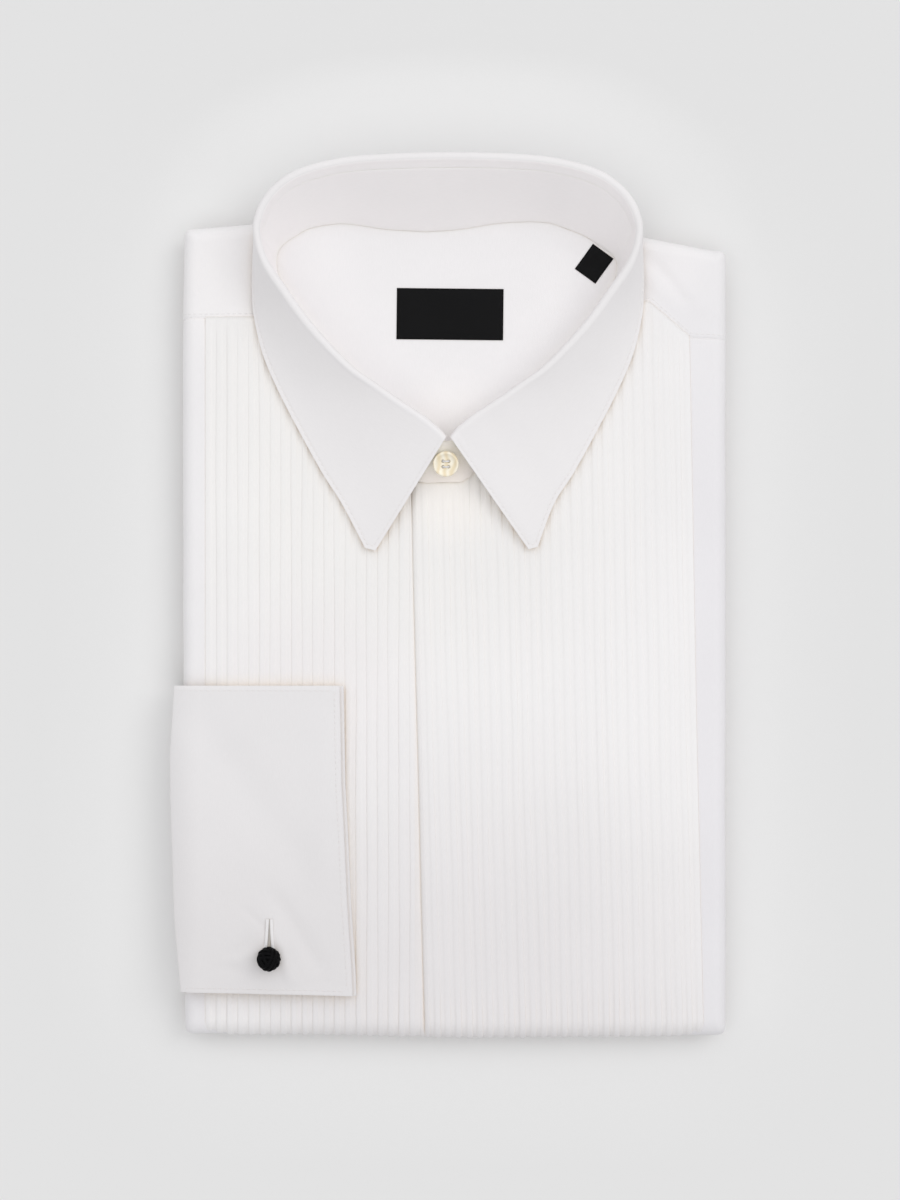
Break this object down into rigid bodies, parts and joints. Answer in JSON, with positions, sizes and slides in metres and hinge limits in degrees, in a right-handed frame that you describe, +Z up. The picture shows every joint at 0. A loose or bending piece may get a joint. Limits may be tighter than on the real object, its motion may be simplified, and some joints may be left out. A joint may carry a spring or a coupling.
{
  "type": "long sleeve dress shirt, folded",
  "caption": "Folded dress shirt lying face up, with a pleated bib, turn-down collar, fly front and one double cuff fastened by a silk knot.",
  "frame": {"origin": "middle of the flat underside, on the surface that the folded shirt lies on", "axes": "+Z up from the surface, +Y towards the collar along the length of the folded shirt, +X towards the side that laps over at the fly"},
  "size_m": [0.245, 0.3862, 0.046],
  "materials": {
    "shirt_cloth": "plain white cotton poplin, matt",
    "bib_cloth": "white cotton poplin pressed in knife pleats, matt",
    "collar_cloth": "white cotton over a stiff interlining, matt, smooth",
    "cuff_cloth": "white cotton over an interlining, matt, smooth",
    "inside_cloth": "wrong side of the white cotton, matt",
    "knot_cord": "black braided silk cord, soft sheen",
    "label_satin": "black woven satin, bare",
    "button": "cream mother-of-pearl look, glossy"
  },
  "bodies": {
    "root": {"folded_stack": "shirt_cloth", "front_left": "shirt_cloth", "front_right": "shirt_cloth", "bib_left": "bib_cloth", "bib_right": "bib_cloth", "yoke_left": "shirt_cloth", "yoke_right": "shirt_cloth", "yoke_inner": "inside_cloth", "collar_stand": "collar_cloth", "collar_leaf": "collar_cloth", "collar_button": "button", "cuff_under": "cuff_cloth", "cuff_upper": "cuff_cloth", "sleeve": "shirt_cloth", "silk_knot": "knot_cord", "neck_label": "label_satin", "size_tab": "label_satin"}
  },
  "joints": []
}
